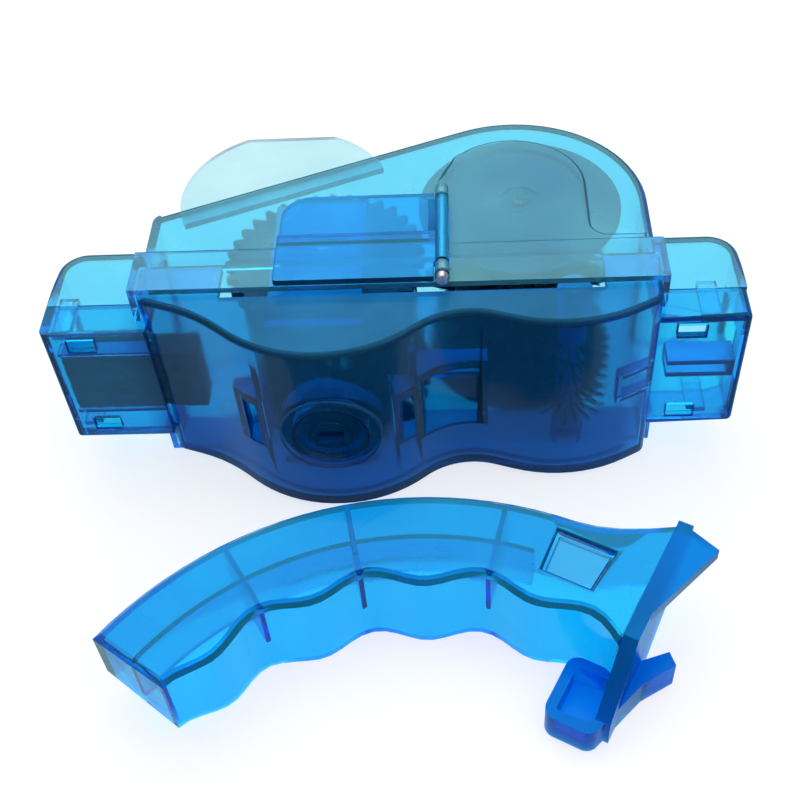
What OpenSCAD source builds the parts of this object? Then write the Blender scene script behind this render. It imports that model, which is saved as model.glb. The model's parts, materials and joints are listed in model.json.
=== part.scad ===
/* [Housing] */
// Length of the housing over both chain ports
housing_length = 165; // [150:1:180]
// Left end of the tank, measured from the origin
tank_left = 58.2; // [56:0.2:60]
// Right end of the tank, measured from the origin
tank_right = 61.5; // [60:0.1:64]
// Width of the tank across its two side faces
tank_width = 53; // [50:0.5:58]
// Wall of the tank and of the lid
wall = 1.8; // [1.4:0.1:2.2]
// Height of the tank rim above the floor of the ports
rim_height = 12; // [11:0.25:13]
// Gap between pieces that slide past each other
slide_gap = 0.3; // [0.2:0.05:0.4]

/* [Lobes] */
// Place of the left lobe along the housing
left_lobe_x = -15.2; // [-17:0.1:-13]
// Depth of the left lobe below the floor of the ports
left_lobe_depth = 17; // [16:0.5:19]
// Outer radius of the left lobe
left_lobe_radius = 33.3; // [32.5:0.1:35]
// Place of the right lobe along the housing
right_lobe_x = 39.5; // [38.5:0.1:41]
// Depth of the right lobe below the floor of the ports
right_lobe_depth = 8.8; // [8.5:0.1:10]
// Outer radius of the right lobe
right_lobe_radius = 35; // [33:0.5:37]
// Rounding of the valley between the lobes
valley_radius = 18; // [14:0.5:18]

/* [Ports] */
// Width of a chain port
port_width = 36.5; // [34:0.5:40]
// Height of a chain port
port_height = 28.5; // [27:0.5:31]
// Height of the seam between tank and lid on a port
seam_height = 9.3; // [8.5:0.1:9.6]
// Height of the chain line above the floor of the ports
chain_height = 14.25; // [13.5:0.05:14.6]
// Width of the chain mouth in a port's end wall
mouth_width = 16; // [12:0.5:18]
// Height of the chain mouth in a port's end wall
mouth_height = 14; // [12:0.5:15]
// Rounding of a port's upper outer corner
port_round = 7; // [4:0.5:8]

/* [Lid] */
// Height of the lower edge of the lid's band
band_low = 3.5; // [3.2:0.1:4.5]
// Height of the upper edge of the lid's band
band_high = 17; // [16:0.25:18]
// How far the band stands proud of the tank
band_proud = 1.8; // [1.6:0.1:2.2]
// Height at which the sloping top leaves the left wall
slope_start = 31.6; // [30.5:0.1:34]
// Slope of the top towards the dome
slope_angle = 22.3; // [20:0.1:24]
// Radius of the lid's dome
dome_radius = 32; // [30.5:0.5:33]
// Radius of the raised arch on the front
arch_radius = 18; // [16:0.5:19]
// How far the arch stands proud
arch_proud = 1.2; // [0.8:0.1:1.6]

/* [Splash guard] */
// Radius of the clear splash guard
guard_radius = 26; // [24:0.5:27]
// Thickness of the splash guard
guard_thickness = 1.6; // [1.2:0.1:2]

/* [Latch] */
// Length of the latch plate along the housing
latch_length = 38.5; // [36:0.5:40]
// Height of the latch plate
latch_height = 31.5; // [30:0.5:34]
// Thickness of the latch plate
latch_thickness = 1.6; // [1.2:0.1:2]
// Radius of the latch's hinge pin
latch_pin_radius = 0.8; // [0.6:0.05:1]

/* [Side brushes] */
// Radius of a side brush over its teeth
disc_radius = 24; // [22:0.25:24.1]
// Number of teeth on a side brush's rim
disc_teeth = 34; // [24:1:40]
// Thickness of a side brush's disc
disc_thickness = 2.2; // [1.6:0.1:2.6]
// Radius of the pins that the side brushes turn on
disc_pin_radius = 2; // [1.5:0.1:2.4]

/* [Upper wheel] */
// Number of chain teeth on the upper wheel
wheel_teeth = 10; // [9:1:10]
// Pitch of the chain
chain_pitch = 12.7; // [12.5:0.05:12.8]
// Radius of the bristles on the upper wheel
wheel_brush_radius = 22; // [19:0.5:22.5]
// Radius of the upper wheel's axle
wheel_axle_radius = 2; // [1.5:0.1:2.4]

/* [Lower brush] */
// Radius of the lower brush over its bristles
roller_radius = 9.2; // [8.5:0.1:9.4]
// Radius of the lower brush's axle
roller_axle_radius = 1.5; // [1.2:0.1:1.8]

/* [Magnet plug] */
// Radius of the plug under the left lobe
plug_radius = 9; // [8:0.25:10]
// Radius of the plug's raised centre
plug_boss_radius = 5.1; // [4.5:0.1:5.5]
// Length of the key slot in the plug
key_length = 6; // [5:0.25:7]
// Width of the key slot in the plug
key_width = 4.4; // [4.2:0.1:5]

/* [Handle] */
// Radius of the handle's outer back
handle_radius = 84; // [80:1:90]
// Width of the handle from back to finger grooves
handle_width = 22.2; // [20:0.2:24]
// Thickness of the handle
handle_thickness = 24; // [22:0.5:26]
// Depth of the finger grooves
groove_depth = 1.7; // [1:0.1:2]
// Angle between one finger groove and the next
groove_angle = 22.5; // [20:0.5:25]
// Wall of the handle
handle_wall = 2; // [1.6:0.1:2.4]
// Thickness of the ribs inside the handle
rib_thickness = 1.2; // [1:0.1:1.6]

/* [Hidden] */

// Overrun of every cut past the surface that it opens
over = 0.5;
// Angle of one straight piece of a rounded outline
arc_step = 5;
$fn = 64;
// Clearance of a shaft that turns in its bore
running_gap = 0.05;

// Planes of the housing, which lies on its rear face
middle_z = tank_width / 2 + band_proud;
tank_rear_z = middle_z - tank_width / 2;
tank_front_z = middle_z + tank_width / 2;
band_front_z = tank_front_z + band_proud;
lid_skin = band_proud - slide_gap;
lid_inner_front_z = tank_front_z - wall;
shelf_height = rim_height + slide_gap;
lid_seam = seam_height + slide_gap;

// Open gap between the lid's band and the tank's front wall
gap_left = -39;
gap_right = 49;
gap_low = 2.3;

// Shoulder of the tank beside the left lobe
shoulder_height = 2.3;
shoulder_angle = 19;
shoulder_radius = 40;
end_round = 3;
left_lobe_angle = 40.4;
right_lobe_left_angle = 18.3;
right_lobe_right_angle = 28.8;

// Windows and snap arms of the ports
window_length = 6.4;
window_width = 3.6;
left_window_inset = 4.1;
right_window_inset = 8.3;
snap_length = 4.6;
snap_thickness = 1.4;
sponge_width = 19;
sponge_length = 34;
sponge_height = 8;
sponge_rib = 1;
sponge_rib_height = 4;
guide_width = 5.4;
guide_length = 16;
guide_height = 6.6;

// Ears that carry the side brushes
ear_left = -28.5;
ear_right = -6.1;
ear_low = -4;
ear_top = 36.7;
ear_thickness = 1.6;
ear_boss_radius = 6;
ear_boss_height = 1;
bump_x = -16.3;
bump_y = 28.7;
bump_radius = 6.8;
bump_height = 0.8;
ear_outer_z = lid_inner_front_z - slide_gap - bump_height;
ear_inner_z = ear_outer_z - ear_thickness;
disc_x = -16;
disc_y = 20.5;
disc_tooth_depth = 2.4;
disc_hub_radius = 6;
disc_hub_length = 3.4;
pin_head_radius = 3.4;
pin_head_length = 1.1;
disc_bristle_rings = [9, 13, 17, 21];
disc_bristle_counts = [12, 18, 24, 30];
disc_bristle_gap = 2;
slice_thickness = 1;
slice_inner_radius = 7;
slice_margin = 2;
strand_radius = 0.42;

// Upper wheel
wheel_x = 31;
tooth_rise = 3.4;
tooth_drop = 3.9;
tooth_thickness = 2.2;
tooth_root_half = 3.2;
tooth_tip_half = 1;
wheel_hub_radius = 5;
wheel_boss_length = 2.6;
wheel_disc_radius = 24.5;
wheel_disc_thickness = 1.8;
sleeve_thickness = 1.5;
boss_wall = 2.5;
axle_boss_length = 9;
end_play = 0.4;
wheel_bristle_rows = 4;
wheel_bristle_count = 20;
wheel_row_first = 3.4;
wheel_row_pitch = 4.4;

// Lower brush
roller_x = 42;
roller_y = 3;
roller_hub_radius = 3.2;
roller_sleeve = 1;
roller_rows = 5;
roller_row_pitch = 5;
roller_strands = 18;

// Handle socket and floor details of the tank
socket_drop = 1.5;
slot_length = 14;
slot_width = 3;
slot_depth = 6;
left_slot_x = -33.5;
left_slot_y = -11.6;
right_slot_x = 3.3;
right_slot_y = -12;
pocket_x = 13.8;
pocket_length = 13.6;
pocket_width = 19;
pocket_roof = -0.5;
catch_thickness = 2;
catch_depth = 2.6;
mid_rib_left = 20.5;
mid_rib_right = 32.5;
mid_rib_height = 3;
mid_rib_thickness = 1.6;
ramp_left = 52;
ramp_right = 66;
ramp_low = -1.5;
ramp_high = 5.2;
ramp_width = 9.2;
ramp_wall = 1.4;
plug_x = -14.5;
plug_proud = 0.6;
plug_thickness = 3.8;
plug_ring = 2.9;
plug_boss_rise = 0.6;
plug_well_roof = 1.5;
plug_well_depth = 6.1;
key_depth = 2.6;
magnet_radius = 6.8;
magnet_thickness = 1.8;
seal_width = 1;
seal_height = 1.4;
seal_seat = 1.2;

// Lid details
guard_x = -27;
guard_y = 40.6;
guard_flat = 64;
guard_root = 3;
arch_x = 29.2;
arch_y = 38.2;
arch_flare = 12.5;
arch_flare_height = 2.2;
arch_flare_round = 4;

// Latch details
latch_axis_x = 12.3;
latch_axis_z = band_front_z + 1.9;
latch_barrel_radius = 1.6;
latch_lug_length = 4;
latch_gap = 0.4;
latch_corner = 7;
latch_foot_length = 1.6;
latch_foot_radius = 1.4;
latch_step_round = 1;
latch_low = band_low - slide_gap;

// Handle details
handle_x = 6;
handle_y = -115;
handle_tip_angle = 145;
handle_flare = 9.6;
handle_flare_start_angle = 66;
handle_flare_angle = 13.2;
handle_end_angle = 57;
groove_start = 66.5;
handle_edge = 1.6;
handle_tip_rise = 9;
handle_tip_run = 38;
rib_angles = [121.5, 101.5, 76.5];
rib_height = 15;
mid_rib_start_angle = 70;
mid_rib_inset = 11;
handle_window_start_angle = 57.6;
handle_window_end_angle = 67.4;
handle_window_inset = 4.6;
handle_window_width = 11;
tongue_gap = 0.5;
tongue_thickness = 1.6;
bracket_x = 58;
bracket_y = -56.5;
bracket_angle = 62.1;
bracket_reach = 17;
bracket_near = 31;
bracket_shoulder = 15;
bracket_toe = -8;
bracket_rise = 18;
bracket_plate_near = 27;
bracket_thickness = 3.4;
bracket_flange = 3.2;
bracket_hook_reach = 7;
bracket_hook_near = 7.5;
bracket_block_depth = 14;
bracket_block_height = 8;
bracket_notch = 2.4;
bracket_round = 3;
bracket_block_corners = [
    [-bracket_near, bracket_notch, bracket_round],
    [-bracket_shoulder, -bracket_notch, 0],
    [-bracket_shoulder, bracket_block_depth, bracket_round],
    [-bracket_near, bracket_block_depth, bracket_round]
];

// Plane geometry

function xy(p) = [p[0], p[1]];
function unit(v) = v / norm(v);
function left_of(v) = [-v[1], v[0]];
function heading(a) = [cos(a), sin(a)];
function turned(v, a) = [v[0] * cos(a) - v[1] * sin(a), v[0] * sin(a) + v[1] * cos(a)];
function corner_turn(a, b) = atan2(cross(a, b), a * b);

// Point where two lines cross, each given by a point and a heading
function meet(p, a, q, b) =
    p + heading(a) * cross(q - p, heading(b)) / cross(heading(a), heading(b));

// Lowest point of a circle, turned by an angle around its centre
function low_point(c, r, a) = c + r * [sin(a), -cos(a)];

// Corner list moved inward by d; each corner is [x, y, rounding], anticlockwise
function inset(c, d) = [
    for (i = [0 : len(c) - 1])
        let (
            n = len(c),
            p = xy(c[i]),
            a = unit(p - xy(c[(i + n - 1) % n])),
            b = unit(xy(c[(i + 1) % n]) - p),
            q = p + d * (left_of(a) + left_of(b)) / (1 + a * b),
            r = cross(a, b) > 0 ? c[i][2] - d : c[i][2] + d
        )
        [q[0], q[1], c[i][2] > 0 ? max(r, 0) : 0]
];

// Points of a corner list with every corner rounded
function rounded(c) = [
    for (i = [0 : len(c) - 1])
        let (
            n = len(c),
            p = xy(c[i]),
            a = unit(p - xy(c[(i + n - 1) % n])),
            b = unit(xy(c[(i + 1) % n]) - p),
            t = corner_turn(a, b),
            r = c[i][2],
            start = p - a * r * tan(abs(t) / 2),
            centre = start + sign(t) * r * left_of(a),
            steps = r > 0 ? ceil(abs(t) / arc_step) : 0
        )
        for (k = [0 : steps])
            r > 0 ? centre + turned(start - centre, t * k / steps) : p
];

// Rounding that fits between a corner and the ends of its two straight sides
function fitting(p, a, b, r) =
    let (t = abs(corner_turn(unit(p - a), unit(b - p))))
    min(r, 0.98 * min(norm(p - a), norm(b - p)) / tan(t / 2));

// Corners of the tank's side outline
left_centre = [left_lobe_x, left_lobe_radius - left_lobe_depth];
right_centre = [right_lobe_x, right_lobe_radius - right_lobe_depth];
lobe_a = low_point(left_centre, left_lobe_radius, -left_lobe_angle);
lobe_b = low_point(left_centre, left_lobe_radius, left_lobe_angle);
lobe_c = low_point(right_centre, right_lobe_radius, -right_lobe_left_angle);
lobe_d = low_point(right_centre, right_lobe_radius, right_lobe_right_angle);
shoulder = [-tank_left, shoulder_height];
corner_1 = meet(shoulder, -shoulder_angle, lobe_a, -left_lobe_angle);
corner_2 = meet(lobe_a, -left_lobe_angle, lobe_b, left_lobe_angle);
corner_3 = meet(lobe_b, left_lobe_angle, lobe_c, -right_lobe_left_angle);
corner_4 = meet(lobe_c, -right_lobe_left_angle, lobe_d, right_lobe_right_angle);
corner_5 = meet(lobe_d, right_lobe_right_angle, [tank_right, 0], 90);
shoulder_fit = fitting(corner_1, shoulder + heading(-shoulder_angle) * end_round, lobe_a, shoulder_radius);
valley_fit = fitting(corner_3, lobe_b, lobe_c, valley_radius);

function tank_corners(top) = [
    [-tank_left, shoulder_height, end_round],
    [corner_1[0], corner_1[1], shoulder_fit],
    [corner_2[0], corner_2[1], left_lobe_radius],
    [corner_3[0], corner_3[1], valley_fit],
    [corner_4[0], corner_4[1], right_lobe_radius],
    [corner_5[0], corner_5[1], end_round],
    [tank_right, top, 0],
    [-tank_left, top, 0]
];

// Corners of the lid's side outline
dome_corner = meet([-tank_left, slope_start], slope_angle, [tank_right, 0], 90);

function lid_corners(low) = [
    [-tank_left, low, 0],
    [tank_right, low, 0],
    [dome_corner[0], dome_corner[1], dome_radius],
    [-tank_left, slope_start, end_round]
];

// Placing and repeating

module slab(low, high) {
    translate([0, 0, low])
        linear_extrude(high - low)
            children();
}

module box(low, high) {
    translate(low)
        cube(high - low);
}

// A cylinder along Z between two planes
module post(x, y, low, high, r) {
    translate([x, y, low])
        cylinder(h = high - low, r = r);
}

// A cylinder along Y between two heights
module upright(x, z, low, high, r) {
    translate([x, low, z])
        rotate([-90, 0, 0])
            cylinder(h = high - low, r = r);
}

// Mirror image in the housing's middle plane
module in_rear() {
    translate([0, 0, 2 * middle_z])
        mirror([0, 0, 1])
            children();
}

module both_sides() {
    children();
    in_rear()
        children();
}

// Ports: side is -1 for the left port and 1 for the right

function port_end(side) = side * housing_length / 2;
function port_root(side) = side < 0 ? -tank_left : tank_right;

module port_box(side, inner_x, outer_x, low, high, half) {
    box([min(inner_x, outer_x), low, middle_z - half], [max(inner_x, outer_x), high, middle_z + half]);
}

module port_mouth(side) {
    port_box(side, port_end(side) - side * (wall + over), port_end(side) + side * over,
        chain_height - mouth_height / 2 - slide_gap, chain_height + mouth_height / 2, mouth_width / 2);
}

function window_inset(side) = side < 0 ? left_window_inset : right_window_inset;
function window_outer(side) = port_end(side) - side * (wall + window_inset(side));

module port_windows(side) {
    half = port_width / 2 - wall - window_width / 4;
    for (s = [-1, 1])
        box([min(window_outer(side), window_outer(side) - side * window_length), -over,
                middle_z + s * half - (s > 0 ? window_width : 0)],
            [max(window_outer(side), window_outer(side) - side * window_length), wall + over,
                middle_z + s * half + (s > 0 ? 0 : window_width)]);
}

// Tank

module tank_block(margin = 0) {
    slab(tank_rear_z + margin, tank_front_z - margin)
        polygon(rounded(inset(tank_corners(rim_height), margin)));
}

module tank_cavity() {
    slab(tank_rear_z + wall, tank_front_z - wall)
        polygon(rounded(inset(tank_corners(rim_height + wall + over), wall)));
}

module tank_port(side) {
    port_box(side, port_root(side) - side * wall / 2, port_end(side), 0, seam_height, port_width / 2);
}

module tank_port_cavity(side) {
    port_box(side, port_root(side) - side * (wall + over), port_end(side) - side * wall,
        wall, rim_height + over, port_width / 2 - wall);
}

// Panel on the rear face that the housing rests on
module rest_panel() {
    intersection() {
        slab(0, tank_rear_z + over)
            polygon(rounded(inset(tank_corners(rim_height), wall + end_round)));
        box([-tank_left, -left_lobe_depth, 0], [tank_right, band_low - slide_gap, tank_front_z]);
    }
}

module ear() {
    box([ear_left, ear_low, ear_inner_z], [ear_right, gap_low, lid_inner_front_z + over]);
    box([ear_left, ear_low, ear_inner_z], [ear_right, ear_top, ear_outer_z]);
    post(disc_x, disc_y, ear_inner_z - ear_boss_height, ear_outer_z, ear_boss_radius);
    post(bump_x, bump_y, ear_inner_z, ear_outer_z + bump_height, bump_radius);
}

// Lowered stretch of the front wall, open below the lid's band
module front_gap() {
    box([gap_left, gap_low, lid_inner_front_z - over], [gap_right, rim_height + over, tank_front_z + over]);
}

module roller_boss() {
    post(roller_x, roller_y, tank_front_z - axle_boss_length, tank_front_z - wall / 2,
        roller_axle_radius + boss_wall);
}

// Centre of the sockets for the handle
socket_z = middle_z - socket_drop;

// Blind socket in the floor for one of the handle's hooks
module socket_block(x, y, margin) {
    box([x - slot_width / 2 - margin, y - wall, socket_z - slot_length / 2 - margin],
        [x + slot_width / 2 + margin, y + slot_depth + margin, socket_z + slot_length / 2 + margin]);
}

module socket_cut(x, y) {
    box([x - slot_width / 2, y - wall - slot_depth, socket_z - slot_length / 2],
        [x + slot_width / 2, y + slot_depth, socket_z + slot_length / 2]);
}

module pocket_block() {
    box([pocket_x - pocket_length / 2 - wall, pocket_roof - slot_depth - 2 * wall,
            socket_z - pocket_width / 2 - wall],
        [pocket_x + pocket_length / 2 + wall, pocket_roof + wall, socket_z + pocket_width / 2 + wall]);
}

module pocket_cut() {
    box([pocket_x - pocket_length / 2, -left_lobe_depth, socket_z - pocket_width / 2],
        [pocket_x + pocket_length / 2, pocket_roof, socket_z + pocket_width / 2]);
}

// Bar across the pocket that the handle's latch grips
module pocket_catch() {
    box([pocket_x - pocket_length / 2 - wall / 2, pocket_roof - catch_depth, socket_z + pocket_width / 4],
        [pocket_x + pocket_length / 2 + wall / 2, pocket_roof + wall / 2,
            socket_z + pocket_width / 4 + catch_thickness]);
}

module plug_well() {
    upright(plug_x, middle_z, -left_lobe_depth - plug_proud,
        -left_lobe_depth - plug_proud + plug_well_depth + plug_well_roof, plug_radius + plug_ring);
}

module plug_bore() {
    upright(plug_x, middle_z, -left_lobe_depth - plug_proud - over,
        -left_lobe_depth - plug_proud + plug_well_depth, plug_radius + running_gap);
}

module floor_ribs() {
    intersection() {
        tank_block(wall / 2);
        union() {
            box([mid_rib_left, -left_lobe_depth, middle_z - mid_rib_thickness / 2],
                [mid_rib_right, mid_rib_height - right_lobe_depth, middle_z + mid_rib_thickness / 2]);
            difference() {
                slab(middle_z - ramp_width / 2, middle_z + ramp_width / 2)
                    polygon(ramp_points(0));
                slab(middle_z - ramp_width / 2 + ramp_wall, middle_z + ramp_width / 2 - ramp_wall)
                    polygon(ramp_points(ramp_wall));
            }
        }
    }
}

function ramp_points(start) = [
    [ramp_left + start, -left_lobe_depth],
    [ramp_right, -left_lobe_depth],
    [ramp_right, ramp_high + start],
    [ramp_left + start, ramp_low + start]
];

module sponge_ribs() {
    both_sides()
        box([port_end(-1) + wall + over, wall / 2, middle_z + sponge_width / 2],
            [-tank_left, wall + sponge_rib_height, middle_z + sponge_width / 2 + sponge_rib]);
}

module tank() {
    color([0.06, 0.42, 0.78, 0.55])
    difference() {
        union() {
            difference() {
                union() {
                    tank_block();
                    rest_panel();
                    for (side = [-1, 1])
                        tank_port(side);
                }
                tank_cavity();
                front_gap();
                for (side = [-1, 1])
                    tank_port_cavity(side);
            }
            both_sides() {
                ear();
                roller_boss();
            }
            intersection() {
                tank_block(wall / 2);
                union() {
                    socket_block(left_slot_x, left_slot_y, wall);
                    socket_block(right_slot_x, right_slot_y, wall);
                    pocket_block();
                }
            }
            plug_well();
            floor_ribs();
            sponge_ribs();
        }
        for (side = [-1, 1]) {
            port_mouth(side);
            port_windows(side);
        }
        socket_cut(left_slot_x, left_slot_y);
        socket_cut(right_slot_x, right_slot_y);
        pocket_cut();
        plug_bore();
        both_sides() {
            post(disc_x, disc_y, disc_front_z, ear_outer_z + over, disc_pin_radius);
            post(roller_x, roller_y, tank_front_z - axle_boss_length - over, tank_front_z - wall,
                roller_axle_radius);
        }
    }
    color([0.06, 0.42, 0.78, 0.55])
        pocket_catch();
}

module lower_sponge() {
    color([0.05, 0.07, 0.16])
    intersection() {
        box([port_end(-1) + wall + over, wall, middle_z - sponge_width / 2],
            [port_end(-1) + wall + over + sponge_length, wall + sponge_height, middle_z + sponge_width / 2]);
        union() {
            tank_cavity();
            tank_port_cavity(-1);
        }
    }
}

module outlet_guide() {
    color([0.05, 0.4, 0.85, 0.7])
        difference() {
            box([port_end(1) - wall - guide_length, wall, middle_z - guide_width / 2],
                [port_end(1) - wall, wall + guide_height, middle_z + guide_width / 2]);
            box([port_end(1) - 2 * wall - guide_length, wall - over, middle_z - guide_width / 2 + ramp_wall],
                [port_end(1) - 2 * wall, wall + guide_height - ramp_wall, middle_z + guide_width / 2 - ramp_wall]);
        }
}

// Pins of the side brushes, pressed into the ears
disc_front_z = ear_inner_z - ear_boss_height - slide_gap;
disc_back_z = disc_front_z - disc_thickness;
disc_hub_end_z = disc_back_z - disc_hub_length;

module brush_pin() {
    color("silver") {
        post(disc_x, disc_y, disc_hub_end_z - slide_gap, ear_outer_z, disc_pin_radius);
        post(disc_x, disc_y, disc_hub_end_z - slide_gap - pin_head_length, disc_hub_end_z - slide_gap,
            pin_head_radius);
    }
}

module front_brush_pin() {
    brush_pin();
}

module rear_brush_pin() {
    in_rear()
        brush_pin();
}

module lower_brush_axle() {
    color("silver")
        post(roller_x, roller_y, tank_rear_z + wall, tank_front_z - wall, roller_axle_radius);
}

// Lid

module lid_block() {
    slab(0, tank_front_z)
        polygon(rounded(lid_corners(shelf_height)));
}

module lid_cavity() {
    slab(lid_skin, lid_inner_front_z)
        polygon(rounded(inset(lid_corners(shelf_height - wall - over), wall)));
}

module band_block() {
    box([-tank_left - band_proud, band_low, 0], [tank_right + band_proud, band_high, band_front_z]);
}

module band_cavity() {
    box([-tank_left - slide_gap, band_low - over, lid_skin],
        [tank_right + slide_gap, shelf_height, tank_front_z + slide_gap]);
}

module lid_port(side) {
    slab(middle_z - port_width / 2, middle_z + port_width / 2)
        polygon(rounded(port_corners(side, lid_seam, 0)));
}

function port_corners(side, low, d) =
    let (a = port_end(side) - side * d, b = port_root(side) - side * (wall / 2 + d), top = port_height - d)
    side > 0
        ? [[b, low, 0], [a, low, 0], [a, top, port_round - d], [b, top, 0]]
        : [[a, low, 0], [b, low, 0], [b, top, 0], [a, top, port_round - d]];

module lid_port_cavity(side) {
    slab(middle_z - port_width / 2 + wall, middle_z + port_width / 2 - wall)
        polygon(rounded(port_corners(side, lid_seam - over, wall)));
}

// Room in the band for the tank's half of a port
module port_notch(side) {
    port_box(side, port_root(side) - side * wall / 2, port_root(side) + side * (band_proud + over),
        band_low - over, lid_seam, port_width / 2 + slide_gap);
}

module snap_arm(side) {
    inner = port_width / 2 - wall;
    outer_x = window_outer(side) + side * (left_window_inset - over);
    for (s = [-1, 1])
        box([min(outer_x, outer_x - side * snap_length), wall + over,
                middle_z + s * inner - (s > 0 ? snap_thickness + slide_gap : -slide_gap)],
            [max(outer_x, outer_x - side * snap_length), lid_seam + window_width,
                middle_z + s * inner + (s > 0 ? -slide_gap : snap_thickness + slide_gap)]);
}

// Root that joins a snap arm to the port's side wall above the seam
module snap_root(side) {
    inner = port_width / 2 - wall;
    outer_x = window_outer(side) + side * (left_window_inset - over);
    for (s = [-1, 1])
        box([min(outer_x, outer_x - side * snap_length), lid_seam + wall,
                middle_z + s * inner - (s > 0 ? snap_thickness : wall / 2)],
            [max(outer_x, outer_x - side * snap_length), lid_seam + window_width,
                middle_z + s * inner + (s > 0 ? wall / 2 : snap_thickness)]);
}

module arch() {
    slab(tank_front_z - wall / 2, tank_front_z + arch_proud) {
        translate([arch_x, arch_y])
            circle(r = arch_radius);
        translate([arch_x - arch_radius, band_high - over])
            square([2 * arch_radius, arch_y - band_high + over]);
        polygon(rounded([
            [arch_x, band_high - over, 0],
            [arch_x + arch_radius + arch_flare, band_high - over, 0],
            [arch_x + arch_radius + arch_flare, band_high + arch_flare_height, 0],
            [arch_x + arch_radius, band_high + arch_flare_height, arch_flare_round],
            [arch_x + arch_radius, arch_y, 0],
            [arch_x, arch_y, 0]
        ]));
    }
}

pitch_radius = chain_pitch / (2 * sin(180 / wheel_teeth));
wheel_y = chain_height + pitch_radius;

module wheel_boss() {
    post(wheel_x, wheel_y, tank_front_z - wheel_boss_length, tank_front_z - wall / 2,
        wheel_axle_radius + boss_wall);
    post(wheel_x, wheel_y, lid_skin / 2, tank_rear_z + wheel_boss_length,
        wheel_axle_radius + boss_wall);
}

module guard_plate() {
    slab(lid_inner_front_z - guard_thickness, lid_inner_front_z)
        intersection() {
            translate([guard_x, guard_y])
                circle(r = guard_radius);
            polygon([
                guard_root_point(-tank_left - guard_radius),
                guard_root_point(tank_right),
                [tank_right, guard_flat],
                [-tank_left - guard_radius, guard_flat]
            ]);
        }
}

// Point on the splash guard's straight lower edge, inside the sloping wall
function guard_root_point(x) =
    [x, slope_start + (x + tank_left) * tan(slope_angle) - (wall + guard_root) / cos(slope_angle)];

lug_low = band_low + slide_gap;
lug_high = latch_low + latch_height;

module latch_lugs() {
    for (y = [lug_low, lug_high - latch_lug_length]) {
        upright(latch_axis_x, latch_axis_z, y, y + latch_lug_length, latch_barrel_radius);
        box([latch_axis_x - latch_barrel_radius, y,
                y < band_high ? band_front_z - lid_skin / 2 : lid_inner_front_z + wall / 2],
            [latch_axis_x + latch_barrel_radius, y + latch_lug_length, latch_axis_z]);
    }
}

module lid() {
    color([0.2, 0.75, 0.95, 0.5])
    difference() {
        union() {
            difference() {
                union() {
                    lid_block();
                    band_block();
                    for (side = [-1, 1])
                        lid_port(side);
                    arch();
                }
                lid_cavity();
                band_cavity();
                for (side = [-1, 1]) {
                    lid_port_cavity(side);
                    port_notch(side);
                }
            }
            wheel_boss();
            latch_lugs();
            for (side = [-1, 1]) {
                snap_arm(side);
                snap_root(side);
            }
        }
        for (side = [-1, 1])
            port_mouth(side);
        post(wheel_x, wheel_y, lid_skin, lid_inner_front_z, wheel_axle_radius);
        upright(latch_axis_x, latch_axis_z, -over, lug_high + over, latch_pin_radius);
        guard_plate();
    }
}

module splash_guard() {
    color([0.8, 0.92, 0.97, 0.5])
        guard_plate();
}

module upper_wheel_axle() {
    color("silver")
        post(wheel_x, wheel_y, lid_skin, lid_inner_front_z, wheel_axle_radius);
}

module latch_pin() {
    color("silver") {
        upright(latch_axis_x, latch_axis_z, band_low - latch_foot_length, lug_high, latch_pin_radius);
        upright(latch_axis_x, latch_axis_z, band_low - latch_foot_length, lug_low - slide_gap, latch_foot_radius);
    }
}

// Latch

function latch_corners(right, low, high, corner) = [
    [latch_axis_x - latch_length, low, corner == 0 ? 0 : latch_step_round],
    [right, low, 0],
    [right, high, 0],
    [latch_axis_x - latch_length, high, corner]
];

module latch() {
    step = band_high + slide_gap;
    top = latch_low + latch_height;
    face = band_front_z + latch_gap;
    back = tank_front_z + latch_gap;
    barrel_low = lug_low + latch_lug_length + slide_gap;
    barrel_high = lug_high - latch_lug_length - slide_gap;
    beside_arch = arch_x - arch_radius - slide_gap;
    color([0.25, 0.7, 0.95, 0.5])
    difference() {
        union() {
            slab(face, face + latch_thickness)
                polygon(rounded(latch_corners(latch_axis_x, latch_low, step + latch_thickness, latch_step_round)));
            slab(back, back + latch_thickness)
                polygon(rounded(latch_corners(beside_arch, step, top, latch_corner)));
            slab(back, face + latch_thickness)
                polygon(rounded(latch_corners(beside_arch, step, step + latch_thickness, 0)));
            upright(latch_axis_x, latch_axis_z, barrel_low, barrel_high, latch_barrel_radius);
            box([latch_axis_x - 2 * latch_barrel_radius, step, tank_front_z + arch_proud + slide_gap],
                [latch_axis_x, barrel_high, latch_axis_z]);
        }
        for (y = [latch_low - over, barrel_high])
            box([latch_axis_x - latch_barrel_radius - slide_gap, y, back - over],
                [latch_axis_x + latch_barrel_radius + over,
                    y == barrel_high ? top + over : barrel_low, latch_axis_z + latch_barrel_radius + over]);
        upright(latch_axis_x, latch_axis_z, latch_low - over, top + over, latch_pin_radius + running_gap);
    }
}

// Magnet plug

plug_low = -left_lobe_depth - plug_proud + over / 2;

module magnet_plug() {
    color([0.05, 0.35, 0.75, 0.8])
    difference() {
        union() {
            upright(plug_x, middle_z, plug_low, plug_low + plug_thickness, plug_radius);
            upright(plug_x, middle_z, plug_low - plug_boss_rise, plug_low + over, plug_boss_radius);
        }
        box([plug_x - key_length / 2, plug_low - plug_boss_rise - over, middle_z - key_width / 2],
            [plug_x + key_length / 2, plug_low - plug_boss_rise + key_depth, middle_z + key_width / 2]);
        seal_ring(plug_radius + over);
    }
}

module seal_ring(outer) {
    difference() {
        upright(plug_x, middle_z, plug_low + seal_seat, plug_low + seal_seat + seal_height, outer);
        upright(plug_x, middle_z, plug_low + seal_seat - over, plug_low + seal_seat + seal_height + over,
            plug_radius - seal_width);
    }
}

module magnet() {
    color([0.35, 0.35, 0.38])
        upright(plug_x, middle_z, plug_low + plug_thickness, plug_low + plug_thickness + magnet_thickness,
            magnet_radius);
}

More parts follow.
